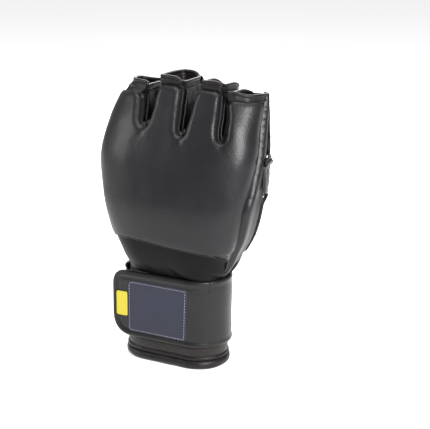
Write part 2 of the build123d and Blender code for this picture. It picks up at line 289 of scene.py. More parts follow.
def pattern(outline, step, rings=(0.35, 0.9, 1.7)):
    """Triangles filling a flat outline: (points, triangles, distance of each point from the edge)."""
    loop = resample(outline, step)
    points = [tuple(p) for p in loop]
    edges = [(i, (i + 1) % len(loop)) for i in range(len(loop))]
    t = np.roll(loop, -1, axis=0) - np.roll(loop, 1, axis=0)
    n = np.stack([-t[:, 1], t[:, 0]], -1) / np.linalg.norm(t, axis=1)[:, None]
    extra = [(loop + sign * r * n, r * 0.93) for r in rings for sign in (1, -1)]
    lo, hi = loop.min(0), loop.max(0)
    grid = [
        (x + (j % 2) * step / 2, y)
        for j, y in enumerate(np.arange(lo[1], hi[1], step * 0.87))
        for x in np.arange(lo[0], hi[0], step)
    ]
    extra.append((np.array(grid), max(rings) + step * 0.6))
    for q, least in extra:
        q = q[inside(q, loop)]
        q = q[distance(q, loop) > least]
        points += [tuple(p) for p in q]
    verts, _, tris, *_ = delaunay_2d_cdt([Vector(p) for p in points], edges, [], 0, 1e-4)
    V = np.array([tuple(v) for v in verts])
    T = np.array([t for t in tris if len(t) == 3])
    T = T[inside(V[T].mean(1), loop)]
    used, index = np.unique(T, return_inverse=True)
    V, T = V[used], index.reshape(-1, 3)
    return V, T, distance(V, loop)


def round_edge(d, radius, drop):
    t = np.clip(1 - d / radius, 0, 1)
    return -drop * (1 - np.sqrt(np.clip(1 - t * t, 0, 1)))


def surface(P, T, chart, out, inner=None):
    """The pattern laid on a chart, out mm above it; with inner, a closed shell between the two heights."""
    base, n = chart(P)
    top = base + n * np.broadcast_to(out, (len(P),))[:, None]
    a, b, c = top[T[:, 0]], top[T[:, 1]], top[T[:, 2]]
    facing = (np.cross(b - a, c - a) * n[T[:, 0]]).sum(1)
    T = np.where((facing.sum() > 0), T, T[:, ::-1])
    if inner is None:
        return top, T
    low = base + n * np.broadcast_to(inner, (len(P),))[:, None]
    k = len(P)
    edges = {}
    for t in T:
        for i in range(3):
            edges[(t[i], t[(i + 1) % 3])] = 1
    rim = [(i, j) for (i, j) in edges if (j, i) not in edges]
    faces = T.tolist() + (T[:, ::-1] + k).tolist() + [[j, i, i + k, j + k] for i, j in rim]
    return np.vstack([top, low]), faces


def panel(
    name, outline, look, out, inner, chart=hull_chart, step=1.4, rings=(
        0.35, 0.9, 1.7
    ), relief=0.0, grain=16, seed=0.0
):
    """A flat pattern laid on a chart; out and inner are heights or functions of the pattern."""
    P, T, d = pattern(outline, step, rings)
    height = out(P, d) if callable(out) else out
    if relief:
        base, _ = chart(P)
        height = height + wobble(base, grain, relief, seed) * np.clip(d / 3, 0, 1)
    low = inner(P, d) if callable(inner) else inner
    verts, faces = surface(P, T, chart, height, low)
    return make(name, verts, faces, look)


def tube(name, points, radius, look, closed=False, sides=10):
    """A tube along a line of points in millimetres; radius is one number or one for each point."""
    p = np.asarray(points, float)
    n = len(p)
    r = np.broadcast_to(np.asarray(radius, float), (n,))
    if closed:
        tangent = np.roll(p, -1, axis=0) - np.roll(p, 1, axis=0)
    else:
        tangent = np.gradient(p, axis=0)
    tangent /= np.linalg.norm(tangent, axis=1)[:, None] + 1e-12
    u = np.cross(tangent[0], (0.3, 0.2, 1.0))
    u /= np.linalg.norm(u)
    frames = []
    for t in tangent:
        u = u - (u @ t) * t
        u /= np.linalg.norm(u)
        frames.append((u.copy(), np.cross(t, u)))
    if closed:
        first, last = frames[0], frames[-1]
        twist = math.atan2(last[0] @ first[1], last[0] @ first[0])
        turns = [-twist * i / n for i in range(n)]
        frames = [
            (
                math.cos(w) * a + math.sin(w) * b, -math.sin(w) * a + math.cos(w) * b
            ) for w, (a, b) in zip(turns, frames)
        ]
    angle = np.linspace(0, 2 * math.pi, sides, endpoint=False)
    verts = [
        p[i] + r[i] * (
            math.cos(w) * frames[i][0] + math.sin(w) * frames[i][1]
        ) for i in range(n) for w in angle
    ]
    faces = grid_faces(n, sides, round_columns=True, round_rows=closed)
    if not closed:
        faces += [list(range(sides))[::-1], [(n - 1) * sides + j for j in range(sides)]]
    return make(name, verts, faces, look)


def stitches(name, points, look, pitch=2.6, length=1.7, width=0.32, closed=False):
    """A row of thread stitches along a line."""
    p = resample(points, pitch, closed)
    nxt = np.roll(p, -1, axis=0) if closed else np.vstack([p[1:], 2 * p[-1:] - p[-2:-1]])
    verts, faces = [], []
    for a, b in zip(p, nxt):
        t = (b - a) / (np.linalg.norm(b - a) + 1e-9)
        u = np.cross(t, (0.21, 0.13, 0.97))
        u /= np.linalg.norm(u)
        v = np.cross(t, u)
        k = len(verts)
        for f, w in ((-0.5, 0.35), (-0.25, 1), (0.25, 1), (0.5, 0.35)):
            verts += [
                a + t * f * length + width * w * (c * u + s * v)
                for c, s in ((1, 0), (0, 1), (-1, 0), (0, -1))
            ]
        faces += [[k + i for i in quad] for quad in grid_faces(4, 4, round_columns=True)]
        faces += [[k + 3, k + 2, k + 1, k], [k + 12, k + 13, k + 14, k + 15]]
    return make(name, verts, faces, look)


def on_chart(line, height=0.0, chart=hull_chart, step=1.5, closed=False):
    P = resample(line, step, closed)
    base, n = chart(P)
    return base + n * np.broadcast_to(height, (len(P),))[:, None]


# ------------------------------------------------------------------ materials
def material(
    name, color, rough, scale=900.0, bump=0.25, depth=0.0002, tint=0.25, sheen=0.0, wrinkle=0.0, gloss=0.35,
    stretch=(1, 1, 1), voronoi=True
):
    """A leather or cloth: a fine grain, a broad change of tone and gloss, and optional soft wrinkles."""
    m = bpy.data.materials.new(name)
    m.use_nodes = True
    nt = m.node_tree
    N, L = nt.nodes, nt.links
    b = N["Principled BSDF"]
    b.inputs["Sheen Weight"].default_value = sheen
    b.inputs["Specular IOR Level"].default_value = gloss
    tc = N.new("ShaderNodeTexCoord")
    mp = N.new("ShaderNodeMapping")
    mp.inputs["Scale"].default_value = stretch
    L.new(tc.outputs["Object"], mp.inputs["Vector"])
    broad = N.new("ShaderNodeTexNoise")
    broad.inputs["Scale"].default_value = 45
    broad.inputs["Detail"].default_value = 6
    L.new(mp.outputs["Vector"], broad.inputs["Vector"])
    ramp = N.new("ShaderNodeMix")
    ramp.data_type = "RGBA"
    ramp.inputs[6].default_value = (*[c * (1 - tint) for c in color], 1)
    ramp.inputs[7].default_value = (*[min(1, c * (1 + tint)) for c in color], 1)
    L.new(broad.outputs["Fac"], ramp.inputs[0])
    L.new(ramp.outputs[2], b.inputs["Base Color"])
    rr = N.new("ShaderNodeMapRange")
    rr.inputs["To Min"].default_value = rough - 0.07
    rr.inputs["To Max"].default_value = rough + 0.07
    L.new(broad.outputs["Fac"], rr.inputs["Value"])
    L.new(rr.outputs["Result"], b.inputs["Roughness"])
    if voronoi:
        fine = N.new("ShaderNodeTexVoronoi")
        out = "Distance"
    else:
        fine = N.new("ShaderNodeTexNoise")
        fine.inputs["Detail"].default_value = 3
        out = "Fac"
    fine.inputs["Scale"].default_value = scale
    L.new(mp.outputs["Vector"], fine.inputs["Vector"])
    bp = N.new("ShaderNodeBump")
    bp.inputs["Strength"].default_value = bump
    bp.inputs["Distance"].default_value = depth
    L.new(fine.outputs[out], bp.inputs["Height"])
    last = bp
    if wrinkle:
        w = N.new("ShaderNodeTexNoise")
        w.inputs["Scale"].default_value = 120
        w.inputs["Detail"].default_value = 5
        w.inputs["Distortion"].default_value = 1.2
        L.new(mp.outputs["Vector"], w.inputs["Vector"])
        b2 = N.new("ShaderNodeBump")
        b2.inputs["Strength"].default_value = wrinkle
        b2.inputs["Distance"].default_value = 0.0012
        L.new(w.outputs["Fac"], b2.inputs["Height"])
        L.new(bp.outputs["Normal"], b2.inputs["Normal"])
        last = b2
    L.new(last.outputs["Normal"], b.inputs["Normal"])
    return m


GLOVE = material(
    "glove_leather_look", (0.0080, 0.0080, 0.0092), 0.36, scale=850, bump=0.22, wrinkle=0.12, gloss=0.24
)
SMOOTH = material(
    "smooth_leather_look", (0.0025, 0.0024, 0.0024), 0.45, scale=1200, bump=0.1, wrinkle=0.2, gloss=0.09
)
SOFT = material(
    "soft_leather_look", (0.0062, 0.0050, 0.0050), 0.42, scale=800, bump=0.25, wrinkle=0.45, gloss=0.22
)
STRAP = material(
    "strap_leather_look", (0.0066, 0.0064, 0.0066), 0.38, scale=1000, bump=0.12, wrinkle=0.1, gloss=0.24
)
BINDING = material(
    "binding_look", (0.0050, 0.0046, 0.0046), 0.38, scale=1100, bump=0.15, wrinkle=0.15, gloss=0.2
)
THREAD = material("thread_look", (0.03, 0.03, 0.032), 0.5, scale=4000, bump=0.3, voronoi=False)
LINING = material(
    "lining_look", (0.78, 0.66, 0.02), 0.85, scale=1800, bump=0.35, depth=0.0003, tint=0.06, sheen=0.3,
    voronoi=False
)
RIB = material(
    "elastic_look", (0.0100, 0.0075, 0.0070), 0.55, scale=1500, bump=0.4, stretch=(1, 1, 0.15), sheen=0.1,
    gloss=0.2
)
PILE = material(
    "loop_pile_look", (0.02, 0.02, 0.02), 0.95, scale=1400, bump=0.9, depth=0.0008, sheen=0.5, voronoi=False
)
HOOK = material("hook_pile_look", (0.028, 0.028, 0.03), 0.7, scale=700, bump=1.0, depth=0.001)
PATCH = material(
    "patch_look", (0.020, 0.021, 0.034), 0.62, scale=1500, bump=0.35, tint=0.08, voronoi=False, gloss=0.2
)
PATCH_THREAD = material("patch_thread_look", (0.20, 0.20, 0.24), 0.6, scale=4000, bump=0.3, voronoi=False)
TAG = material("tag_look", (0.40, 0.34, 0.022), 0.6, scale=2500, bump=0.25, tint=0.05, voronoi=False)


def at_wrist(o):
    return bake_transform(o)


def finish_piece(o, slot, *nodes):
    if nodes:
        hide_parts(*nodes)
    return o


# ------------------------------------------------------------------ padded back and its finger lobes
FINGERS = ("pinky", "ring", "middle", "index")
SPLIT = 161.0   # height at which the finger covers part from the back cover
FLEX_EDGE = [(-60, 88), (-43, 91), (-25.6, 93), (-15, 92.6), (6, 90.6), (23.6, 89), (38, 86.8)]
SLOTS_FRONT = [
    [
        (-34.5, 192), (-31.2, 189.5), (-29.4, 184), (-28.2, 179), (-26.6, 174.6), (-24.2, 171.4),
        (-21.5, 170.2), (-19.6, 171.8), (-18.6, 175), (-18.2, 183), (-18.4, 193), (-17.4, 197)
    ],
    [
        (-13.5, 199.2), (-3.5, 198.6), (0.2, 196), (1.2, 189), (2.4, 182), (3.6, 175), (4.6, 170.2),
        (6.3, 167.6), (8.6, 166.8), (10.2, 167.9), (11.2, 171), (11.4, 181), (12.0, 191), (13, 195.8)
    ],
    [
        (16, 197.9), (27, 197.5), (30.4, 195), (31.3, 189), (32.8, 181), (34, 172.5), (35, 168),
        (36.4, 165.6), (38.3, 164.8), (40, 165.9), (40.6, 169), (39.2, 180), (36.6, 188), (37.4, 191.4)
    ],
]
top_line = [seam(190, -1), back(-44, 192.2), back(-40, 192.4)]
for cut in SLOTS_FRONT:
    top_line += [back(x, z) for x, z in cut]
top_line += [back(41, 192.6), back(50, 191.4), seam(189), seam(186)]
right_side = [seam(z) for z in np.arange(181, 62, -3)]
left_side = [seam(z, -1) for z in np.arange(90, 188, 3)]
# the pad's edge runs down beside the seam
flex_tail = [seam(62, 1, -2), seam(68, 1, -4.5), seam(76, 1, -7), seam(82, 1, -8.5)]
flex_line = flex_tail + [back(x, z) for x, z in FLEX_EDGE[::-1]] + [seam(87.5, -1)]
back_outline = np.array(top_line + right_side + flex_line[:-1] + left_side)

SEAM_ROWS = np.arange(50, 211)
SEAM_RUN = np.array([seam(z)[0] for z in SEAM_ROWS])
FLEX_RUN, FLEX_RISE = np.array(flex_line[len(flex_tail):][::-1]).T


def seam_distance(P):
    """How far round from each side seam, in millimetres of pattern."""
    return np.interp(P[:, 1], SEAM_ROWS, SEAM_RUN) - np.abs(P[:, 0])


def pad_height(P, d):
    ds = np.clip(seam_distance(P), 0, None)
    from_flex = np.clip(P[:, 1] - np.interp(P[:, 0], FLEX_RUN, FLEX_RISE), 0, None)
    # d is to the nearest edge; the slots and lobe tops dive deep, the side seams and the flex edge do not
    inner_edge = (d < ds - 0.6) & (d < from_flex - 0.6)
    h = np.where(inner_edge, round_edge(d, 4.4, 5.5), 0)
    h += -3.4 * np.clip(1 - ds / 13.0, 0, 1) ** 1.5 + round_edge(ds, 2.2, 1.6)
    h += round_edge(from_flex, 1.8, 0.9)
    return h


P, T, d = pattern(back_outline, 1.45, rings=(0.3, 0.8, 1.5, 2.4))
base, _ = hull_chart(P)
h = pad_height(P, d)
soft = np.clip(d / 4, 0, 1)
h += wobble(base, 38, 1.0, 3.1) * soft + wobble(base * (1, 1, 0.4), 10, 0.22, 5.2) * soft
# pulls in the leather that fan out below each slot
for x0, z0 in ((-21.5, 169), (8.6, 165.5), (38.3, 163.5)):
    a0 = back(x0, z0)[0]
    for lean, size in ((-0.55, 0.22), (-0.2, 0.25), (0.15, 0.3), (0.5, 0.2)):
        run = z0 - P[:, 1]
        across = P[:, 0] - a0 - lean * run
        pull = size * np.exp(-((across / 1.5) ** 2)) * np.clip(run / 2, 0, 1)
        h -= pull * np.exp(-((run / 8) ** 2)) * (run > 0)
# knuckle line: a shallow crease right across the foot of the lobes
crease = P[:, 1] - (168.5 + 1.5 * np.sin(P[:, 0] / 14))
h -= 0.16 * np.exp(-((crease / 4) ** 2)) * soft
V, F = surface(P, T, hull_chart, h)
fn = vertex_normals(V, F)
centre = P[F].mean(1)
bounds_x = [back(-21.5, 170)[0], back(8.6, 167)[0], back(38.3, 165)[0]]
finger_of = np.digitize(centre[:, 0], bounds_x)
part = np.where(centre[:, 1] < SPLIT, 0, finger_of + 1)
COVER_BEND = 0.163, 0.181
PALM_BEND = 0.168, 0.184


def bend_finger(o, finger, low=COVER_BEND[0], high=COVER_BEND[1]):
    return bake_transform(o)


for i, name in enumerate(("back",) + FINGERS):
    used, index = np.unique(F[part == i], return_inverse=True)
    o = make(f"{name}_cover_leather", V[used], index.reshape(-1, 3), GLOVE, fn[used])
    if name == "back":
        at_wrist(o)
        finish_piece(o, "glove_leather", "back_cover", "back_pad")
    else:
        bend_finger(o, name)
        finish_piece(o, "glove_leather", f"{name}_cover", f"{name}_pad", f"{name}_crease")

# ------------------------------------------------------------------ piping round the slots
for i, cut in enumerate(SLOTS_FRONT):
    line = np.array([back(x, z) for x, z in cut])
    low = int(line[:, 1].argmin())
    for tag, finger, part_line in (("a", FINGERS[i], line[: low + 1]), ("b", FINGERS[i + 1], line[low:])):
        pts = on_chart(part_line, -5.2, step=1.2)
        o = tube(f"{finger}_slot_piping_{tag}", pts, 0.85, BINDING)
        bend_finger(o, finger)
        finish_piece(o, "binding")
        inset = on_chart(part_line + np.array([1.7 if tag == "a" else -1.7, 1.5]), -7.8, step=1.2)
        o = tube(f"{finger}_slot_inner_piping_{tag}", inset, 0.8, SOFT)
        bend_finger(o, finger)
        finish_piece(o, "soft_leather")

# ------------------------------------------------------------------ finger tubes
LEFT = {
    "ring": ([155, 175, 190, 204], [-18.6, -18.3, -18.6, -19]),
    "middle": ([155, 180, 190, 204], [11.6, 12.2, 13.0, 13.6]),
    "index": ([155, 175, 188, 204], [40.2, 39.4, 36.2, 35.6]),
}
RIGHT = {
    "pinky": ([155, 175, 180, 190, 204], [-25.5, -27.2, -28, -28.5, -27]),
    "ring": ([155, 175, 190, 204], [4.0, 3.0, 1.0, 0.2]),
    "middle": ([155, 180, 190, 204], [34.4, 32.8, 31, 30]),
}
LOBE_TOP = {"pinky": 192, "ring": 198.6, "middle": 197.5, "index": 191.8}
RIM = {"pinky": (197, 193.5), "ring": (202, 201), "middle": (200.8, 193), "index": (194.8, 189.5)}


def finger_outline(finger, z, t, shrink=0.0):
    """The tube's outline at one height; t is 0 at the back and runs round the thumb side."""
    mx, my = OUTER.mid(z)
    half, dback, dpalm = (np.interp(z, OUTER.z, q) for q in (OUTER.half, OUTER.back, OUTER.palm))
    # room for the side strip over it
    under = np.interp(z, [LOBE_TOP[finger] - 12, LOBE_TOP[finger] + 2], [4.8, 1.4])
    left = np.interp(z, *LEFT[finger]) if finger in LEFT else mx - half + under
    right = np.interp(z, *RIGHT[finger]) if finger in RIGHT else mx + half - under
    top = LOBE_TOP[finger]
    sink = np.interp(z, [top - 16, top - 3, top + 1], [9.0, 5.5, 0.8])
    front, rear = my - dback + sink, my + dpalm - 0.8
    a, b = (right - left) / 2 - shrink, (rear - front) / 2 - shrink
    sin, cos = np.sin(t), np.cos(t)
    corner = np.where(cos > 0, 6.5, 3.6)
    x = (left + right) / 2 + a * np.sign(sin) * np.abs(sin) ** (2 / corner)
    y = (front + rear) / 2 - b * np.sign(cos) * np.abs(cos) ** (2 / corner)
    d = np.where(y < my, dback - 0.9, dpalm - 0.9) - shrink
    r = np.abs((x - mx) / (half - under - shrink)) ** SQUARENESS + np.abs((y - my) / d) ** SQUARENESS
    k = np.where(r > 1, r ** (-1 / SQUARENESS), 1)
    return np.stack([mx + (x - mx) * k, my + (y - my) * k, np.full_like(x, z)], -1)


def finger_rim(finger, t):
    front, rear = RIM[finger]
    s = ((1 - np.cos(t)) / 2) ** 2.4
    swell = {"pinky": -2.5, "ring": -3.6, "middle": -1.2, "index": -1.5}[finger] * np.clip(np.sin(t), 0, 1)
    return front + (rear - front) * s + swell + 0.45 * np.sin(3 * t + len(finger)) * s


AROUND = np.linspace(0, 2 * math.pi, 84, endpoint=False)
TUBE_FOOT, TUBE_ROWS, TUBE_WALL = 164.0, 26, 1.5
FOLD_SEED = {"pinky": 1.3, "ring": 4.7, "middle": 8.2, "index": 11.9}
for finger in FINGERS:
    rim = finger_rim(finger, AROUND)
    heights = [TUBE_FOOT + (rim - TUBE_FOOT) * j / (TUBE_ROWS - 1) for j in range(TUBE_ROWS)]
    outer, lining = (
        np.array([finger_outline(finger, z, AROUND, shrink) for z in heights]) for shrink in (0.0, TUBE_WALL)
    )
    away = outer - outer.mean(1, keepdims=True)
    away[..., 2] = 0
    away /= np.linalg.norm(away, axis=-1, keepdims=True) + 1e-9
    seed = FOLD_SEED[finger]
    flat = outer.reshape(-1, 3)
    fold = wobble(flat * (1, 1, 0.35), 7.5, 1.5, seed) + wobble(flat, 16, 1.4, seed + 2)
    level = np.linspace(0, 1, TUBE_ROWS)[:, None]
    sideways = np.clip(1.15 * np.abs(np.sin(AROUND)) ** 1.5 + 0.35 * (np.cos(AROUND) < 0), 0, 1)
    lift = np.minimum(fold.reshape(TUBE_ROWS, -1) * sideways * np.clip((1 - level) * 6, 0, 1), 0.6)
    outer = outer + away * lift[..., None]
    lining = lining + away * lift[..., None]
    rows, n = TUBE_ROWS, len(AROUND)
    verts = np.vstack([outer.reshape(-1, 3), lining.reshape(-1, 3)])
    faces = []
    k = rows * n
    for j in range(rows - 1):
        for q in range(n):
            m = (q + 1) % n
            faces.append([j * n + q, j * n + m, (j + 1) * n + m, (j + 1) * n + q])
            faces.append([k + j * n + m, k + j * n + q, k + (j + 1) * n + q, k + (j + 1) * n + m])
    top = (rows - 1) * n
    for q in range(n):
        m = (q + 1) % n
        faces.append([top + q, top + m, k + top + m, k + top + q])
        faces.append([m, q, k + q, k + m])
    o = make(f"{finger}_loop_leather", verts, faces, SOFT)
    bend_finger(o, finger)
    finish_piece(o, "soft_leather", f"{finger}_loop")
    edge = (outer[-1] + lining[-1]) / 2
    o = tube(f"{finger}_rim_binding", edge + (0, 0, 0.3), 1.35, SOFT, closed=True, sides=12)
    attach(o, f"{finger}_finger")
    finish_piece(o, "soft_leather", f"{finger}_rim")
    second = outer[-4] + away[-4] * 0.25
    o = tube(f"{finger}_rim_seam", second, 0.6, BINDING, closed=True, sides=8)
    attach(o, f"{finger}_finger")
    finish_piece(o, "binding")

# webs that close the foot of each slot
for i, (x0, z0, half) in enumerate(((-22.5, 168.6, 6.5), (8.0, 165.0, 6.0), (37.6, 163.2, 5.0))):
    verts = []
    back_y, palm_y = (float(OUTER.point(OUTER.s_at_x(x0, z0, to_palm), z0)[1]) for to_palm in (False, True))
    ys = np.linspace(back_y + 5, palm_y - 1.5, 14)
    us = np.linspace(-1, 1, 11)
    for y in ys:
        rise = 3.5 * ((y - ys[0]) / (ys[-1] - ys[0])) ** 1.5
        verts += [(x0 + half * u, y, z0 + rise + 3.2 * u * u) for u in us]
    o = make(f"slot_web_{i + 1}", verts, grid_faces(len(ys), len(us)), SOFT)
    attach(o, "hand")
    finish_piece(o, "soft_leather")

# ------------------------------------------------------------------ side strips, wrist panel, yellow lining
STRIP = 10.0
THUMB_STRIP = [60, 72, 84, 95, 108, 122, 136, 150, 190], [6, 10, 17, 19.5, 20, 18.5, 14, 10, 9]


def strip_edge(z, sign=1):
    return seam(z, sign, STRIP if sign < 0 else float(np.interp(z, *THUMB_STRIP)))


def strip_height(P, d):
    past = np.clip(-seam_distance(P), -2, None)
    return -1.0 - 3.0 * np.clip(1 - (past + 1.5) / 3.2, 0, 1) ** 1.5 + 0.5 * np.sin(past * 0.45)


def strip_inner(P, d):
    return strip_height(P, d) - 1.4


for sign, name in ((1, "thumb_side_strip"), (-1, "little_side_strip")):
    top = 193 if sign > 0 else 192
    # the strip's upper end is a piece of its own beside the outer finger, so it parts at the knuckle
    for tag, heights in (("", np.linspace(58, 163.4, 36)), ("_top", np.linspace(162.6, top, 14))):
        outline = [seam(z, sign, -2.0) for z in heights] + [strip_edge(z, sign) for z in heights[::-1]]
        o = panel(
            f"{name}_leather{tag}", np.array(outline), GLOVE, out=strip_height, inner=strip_inner, step=1.8,
            rings=(0.3, 0.9), relief=0.5, seed=sign * 2.0
        )
        if tag:
            bend_finger(o, "index" if sign > 0 else "pinky")
            finish_piece(o, "glove_leather")
        else:
            at_wrist(o)
            finish_piece(o, "glove_leather", name)
    if sign > 0:
        o = tube(
            "index_side_binding", on_chart([strip_edge(z) for z in np.linspace(165, top - 2, 20)], -0.6),
            1.0, BINDING
        )
        bend_finger(o, "index")
        finish_piece(o, "binding")
    for tag, lo_z, hi_z in (("", 62, 163), ("_top", 163, top - 1)):
        o = tube(
            f"{name}_seam{tag}", on_chart([seam(z, sign, 0.1) for z in np.linspace(lo_z, hi_z, 40)], -4.3),
            0.8, BINDING
        )
        if tag:
            bend_finger(o, "index" if sign > 0 else "pinky")
        else:
            at_wrist(o)
        finish_piece(o, "binding")

# dark smooth panel between the pad and the strap, with folds where it meets the strap
flex_top = [back(x, z + 0.8) for x, z in FLEX_EDGE]
thumb_edge = [seam(80, 1, -6), seam(72, 1, -4), seam(66, 1, -2), seam(58, 1, -1)]
foot_edge = [back(x, 56) for x in (30, 20, 10, 0, -10, -20, -30)]
little_edge = [seam(58, -1), seam(66, -1), seam(75, -1)]
outline = [seam(84, -1)] + flex_top[1:] + thumb_edge + foot_edge + little_edge


def wrist_height(P, d):
    base, _ = hull_chart(P)
    near_strap = np.exp(-(((P[:, 1] - 69) / 5.5) ** 2))
    thumbward = np.clip((base[:, 0] + 5) / 35, 0.15, 1)
    folds = 2.6 * near_strap * thumbward * np.abs(np.sin(base[:, 0] / 8.5 + P[:, 1] / 6)) ** 0.7
    return -1.2 + folds - 1.2 * near_strap * (1 - thumbward)


o = panel(
    "wrist_panel_leather", np.array(outline), SMOOTH, out=wrist_height, inner=-3.2, step=1.6, relief=0.7,
    seed=6.0
)
at_wrist(o)
finish_piece(o, "smooth_leather", "wrist_panel")
o = tube("pad_flex_seam", on_chart(flex_line[:-1], -0.6), 0.55, BINDING)
at_wrist(o)
finish_piece(o, "binding")
o = stitches(
    "pad_flex_stitches", on_chart([(a, z + 2.2) for a, z in flex_line[4:-1]], 0.02), THREAD, pitch=3.0,
    length=1.9, width=0.22
)
at_wrist(o)
finish_piece(o, "glove_leather")

zs = np.linspace(72, 166, 60)
ss = np.linspace(-1, 1, 91)
verts = []
for z in zs:
    s = ss * (seam(z, 1, 7)[0] / CHART_WIDTH)
    w = np.clip((np.abs(ss) - 0.80) / 0.20, 0, 1) ** 1.5
    a = INNER.point(s, np.full_like(s, z))
    b = OUTER.point(s, np.full_like(s, z)) - OUTER.normal(s, np.full_like(s, z)) * 3.2
    verts.append(a * (1 - w[:, None]) + b * w[:, None])
verts = np.array(verts)
verts += (wobble(verts.reshape(-1, 3), 22, 1.2, 9)[:, None] * np.array([0, 1, 0])).reshape(verts.shape)
o = make("back_lining_cloth", verts.reshape(-1, 3), grid_faces(len(zs), len(ss)), LINING)
m = o.modifiers.new("thick", "SOLIDIFY")
m.thickness = 0.0009
at_wrist(o)
finish_piece(o, "lining_fabric", "back_lining")

# ------------------------------------------------------------------ palm
PALM_SLOTS = [
    [
        (-30.5, 192), (-28.5, 190), (-27.2, 184), (-25.6, 176.5), (-22.8, 173.2), (-20.2, 176.5),
        (-19.6, 184), (-19, 196), (-17.5, 199)
    ],
    [
        (-1, 199.5), (1.2, 196), (2.6, 186), (4.6, 176.5), (7.6, 172.6), (10.2, 176), (11.4, 184),
        (12.6, 189), (14.5, 191)
    ],
    [
        (28.5, 191.5), (30.8, 189), (32.6, 182), (34.6, 174.5), (37, 171), (38.9, 174.5), (38.4, 182),
        (38.2, 185), (39.5, 187.5)
    ],
]
upper = [strip_edge(z, -1) for z in (163, 170, 178, 186)] + [palm(-48, 191.5), palm(-42, 192.3)]
for cut in PALM_SLOTS:
    upper += [palm(x, z) for x, z in cut]
upper += [palm(43, 188.3), palm(47, 188)] + [strip_edge(z) for z in (185, 178, 170, 160, 151)]
lower = [
    palm(x, z)
    for x, z in ((53.7, 150.5), (44, 153.5), (33.7, 156), (22, 158), (9.7, 160), (-10, 161.5), (-34, 162))
]
CLOSE = 2 * CHART_WIDTH


def unwrapped(points):
    """Chart points that cross the palm's middle, shifted so that the outline doesn't jump."""
    return np.array([(a + (CLOSE if a < 0 else 0), z) for a, z in points])


def palm_chart(P):
    P = np.asarray(P, float)
    a = (P[:, 0] + CHART_WIDTH) % CLOSE - CHART_WIDTH
    return hull_chart(np.stack([a, P[:, 1]], -1))


palm_outline = unwrapped(upper + lower)


def palm_height(P, d):
    return np.where(P[:, 1] > 168, round_edge(d, 2.5, 2.0), round_edge(d, 1.2, 0.6)) + 0.3


P, T, d = pattern(palm_outline, 1.6, rings=(0.35, 1.0, 1.9))
base, _ = palm_chart(P)
h = palm_height(P, d)
crumple = np.clip((P[:, 1] - 158) / 18, 0.15, 1) * np.clip(d / 3, 0, 1)
h += wobble(base * (1, 1, 1.7), 13, 2.6, 14.0) * crumple + wobble(
    base * (1.6, 1, 0.7), 7, 1.1, 15.0
) * crumple
h = np.minimum(h, 0.9)
V, F = surface(P, T, palm_chart, h)
fn = vertex_normals(V, F)
centre = P[F].mean(1)
marks = sorted(palm(x, 172)[0] % CLOSE for x in (-22.8, 7.6, 37.4))
turned = centre[:, 0] % CLOSE
finger_of = 3 - np.digitize(turned, marks)
part = np.where(centre[:, 1] < 168, 0, finger_of + 1)
for i, name in enumerate(("palm",) + FINGERS):
    used, index = np.unique(F[part == i], return_inverse=True)
    if not len(used):
        continue
    o = make(
        "palm_finger_panel_leather" if not i else f"{name}_palm_leather", V[used], index.reshape(-1, 3),
        SOFT, fn[used]
    )
    if i:
        bend_finger(o, name, *PALM_BEND)
        finish_piece(o, "soft_leather")
    else:
        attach(o, "hand")
        finish_piece(o, "glove_leather", "palm_finger_panel")

heel = (
    [strip_edge(z, -1) for z in (163, 150, 138, 125, 112, 100, 88, 76, 66, 58)]
    + [palm(x, 57) for x in (-28, -14, 0, 14, 28)]
    + [strip_edge(z) for z in (58, 66, 74, 82)]
    + [
        palm(42, 79.5), palm(31, 77), palm(19, 76), palm(11, 81.5), palm(6, 90), palm(-6, 86.5),
        palm(-22, 97), palm(-36, 113), palm(-41, 138), palm(-40, 163.5)
    ]
)


def heel_height(P, d):
    base, _ = palm_chart(P)
    near = np.exp(-(((P[:, 1] - 69) / 6) ** 2))
    return -0.8 + round_edge(d, 1.2, 0.5) + 2.2 * near * np.abs(np.sin(base[:, 0] / 11)) ** 0.8


o = panel(
    "palm_heel_panel_leather", rounded(unwrapped(heel), 3), GLOVE, chart=palm_chart, out=heel_height,
    inner=-2.4, step=1.8, relief=1.3, grain=20, seed=21.0
)
at_wrist(o)
finish_piece(o, "glove_leather", "palm_heel_panel")

band = [
    palm(-9, 84.5), palm(15.6, 102), palm(36, 123), palm(50, 137), side(24, 146), side(15, 148.5),
    side(11, 144), side(12, 126), palm(53.5, 121.5), palm(44, 113), palm(27, 98), palm(13, 84), palm(7, 80)
]


def band_height(P, d):
    return 0.5 + round_edge(d, 2.2, 1.4) - 0.5 * np.exp(-(((d - 4.2) / 0.7) ** 2))


o = panel(
    "thumb_band_leather", rounded(unwrapped(band), [1, 4, 4, 4, 3, 2, 2, 4, 3, 3, 3, 3, 2]), GLOVE,
    chart=palm_chart, out=band_height, inner=-1.6, step=1.5, relief=0.8, grain=18, seed=23.0
)
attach(o, "hand")
finish_piece(o, "glove_leather", "thumb_band")
o = tube(
    "thumb_band_end_roll",
    on_chart(unwrapped([side(26, 146), side(19, 149), side(12, 147.5)]), 0.4, chart=palm_chart), 2.0, SOFT
)
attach(o, "hand")
finish_piece(o, "soft_leather")

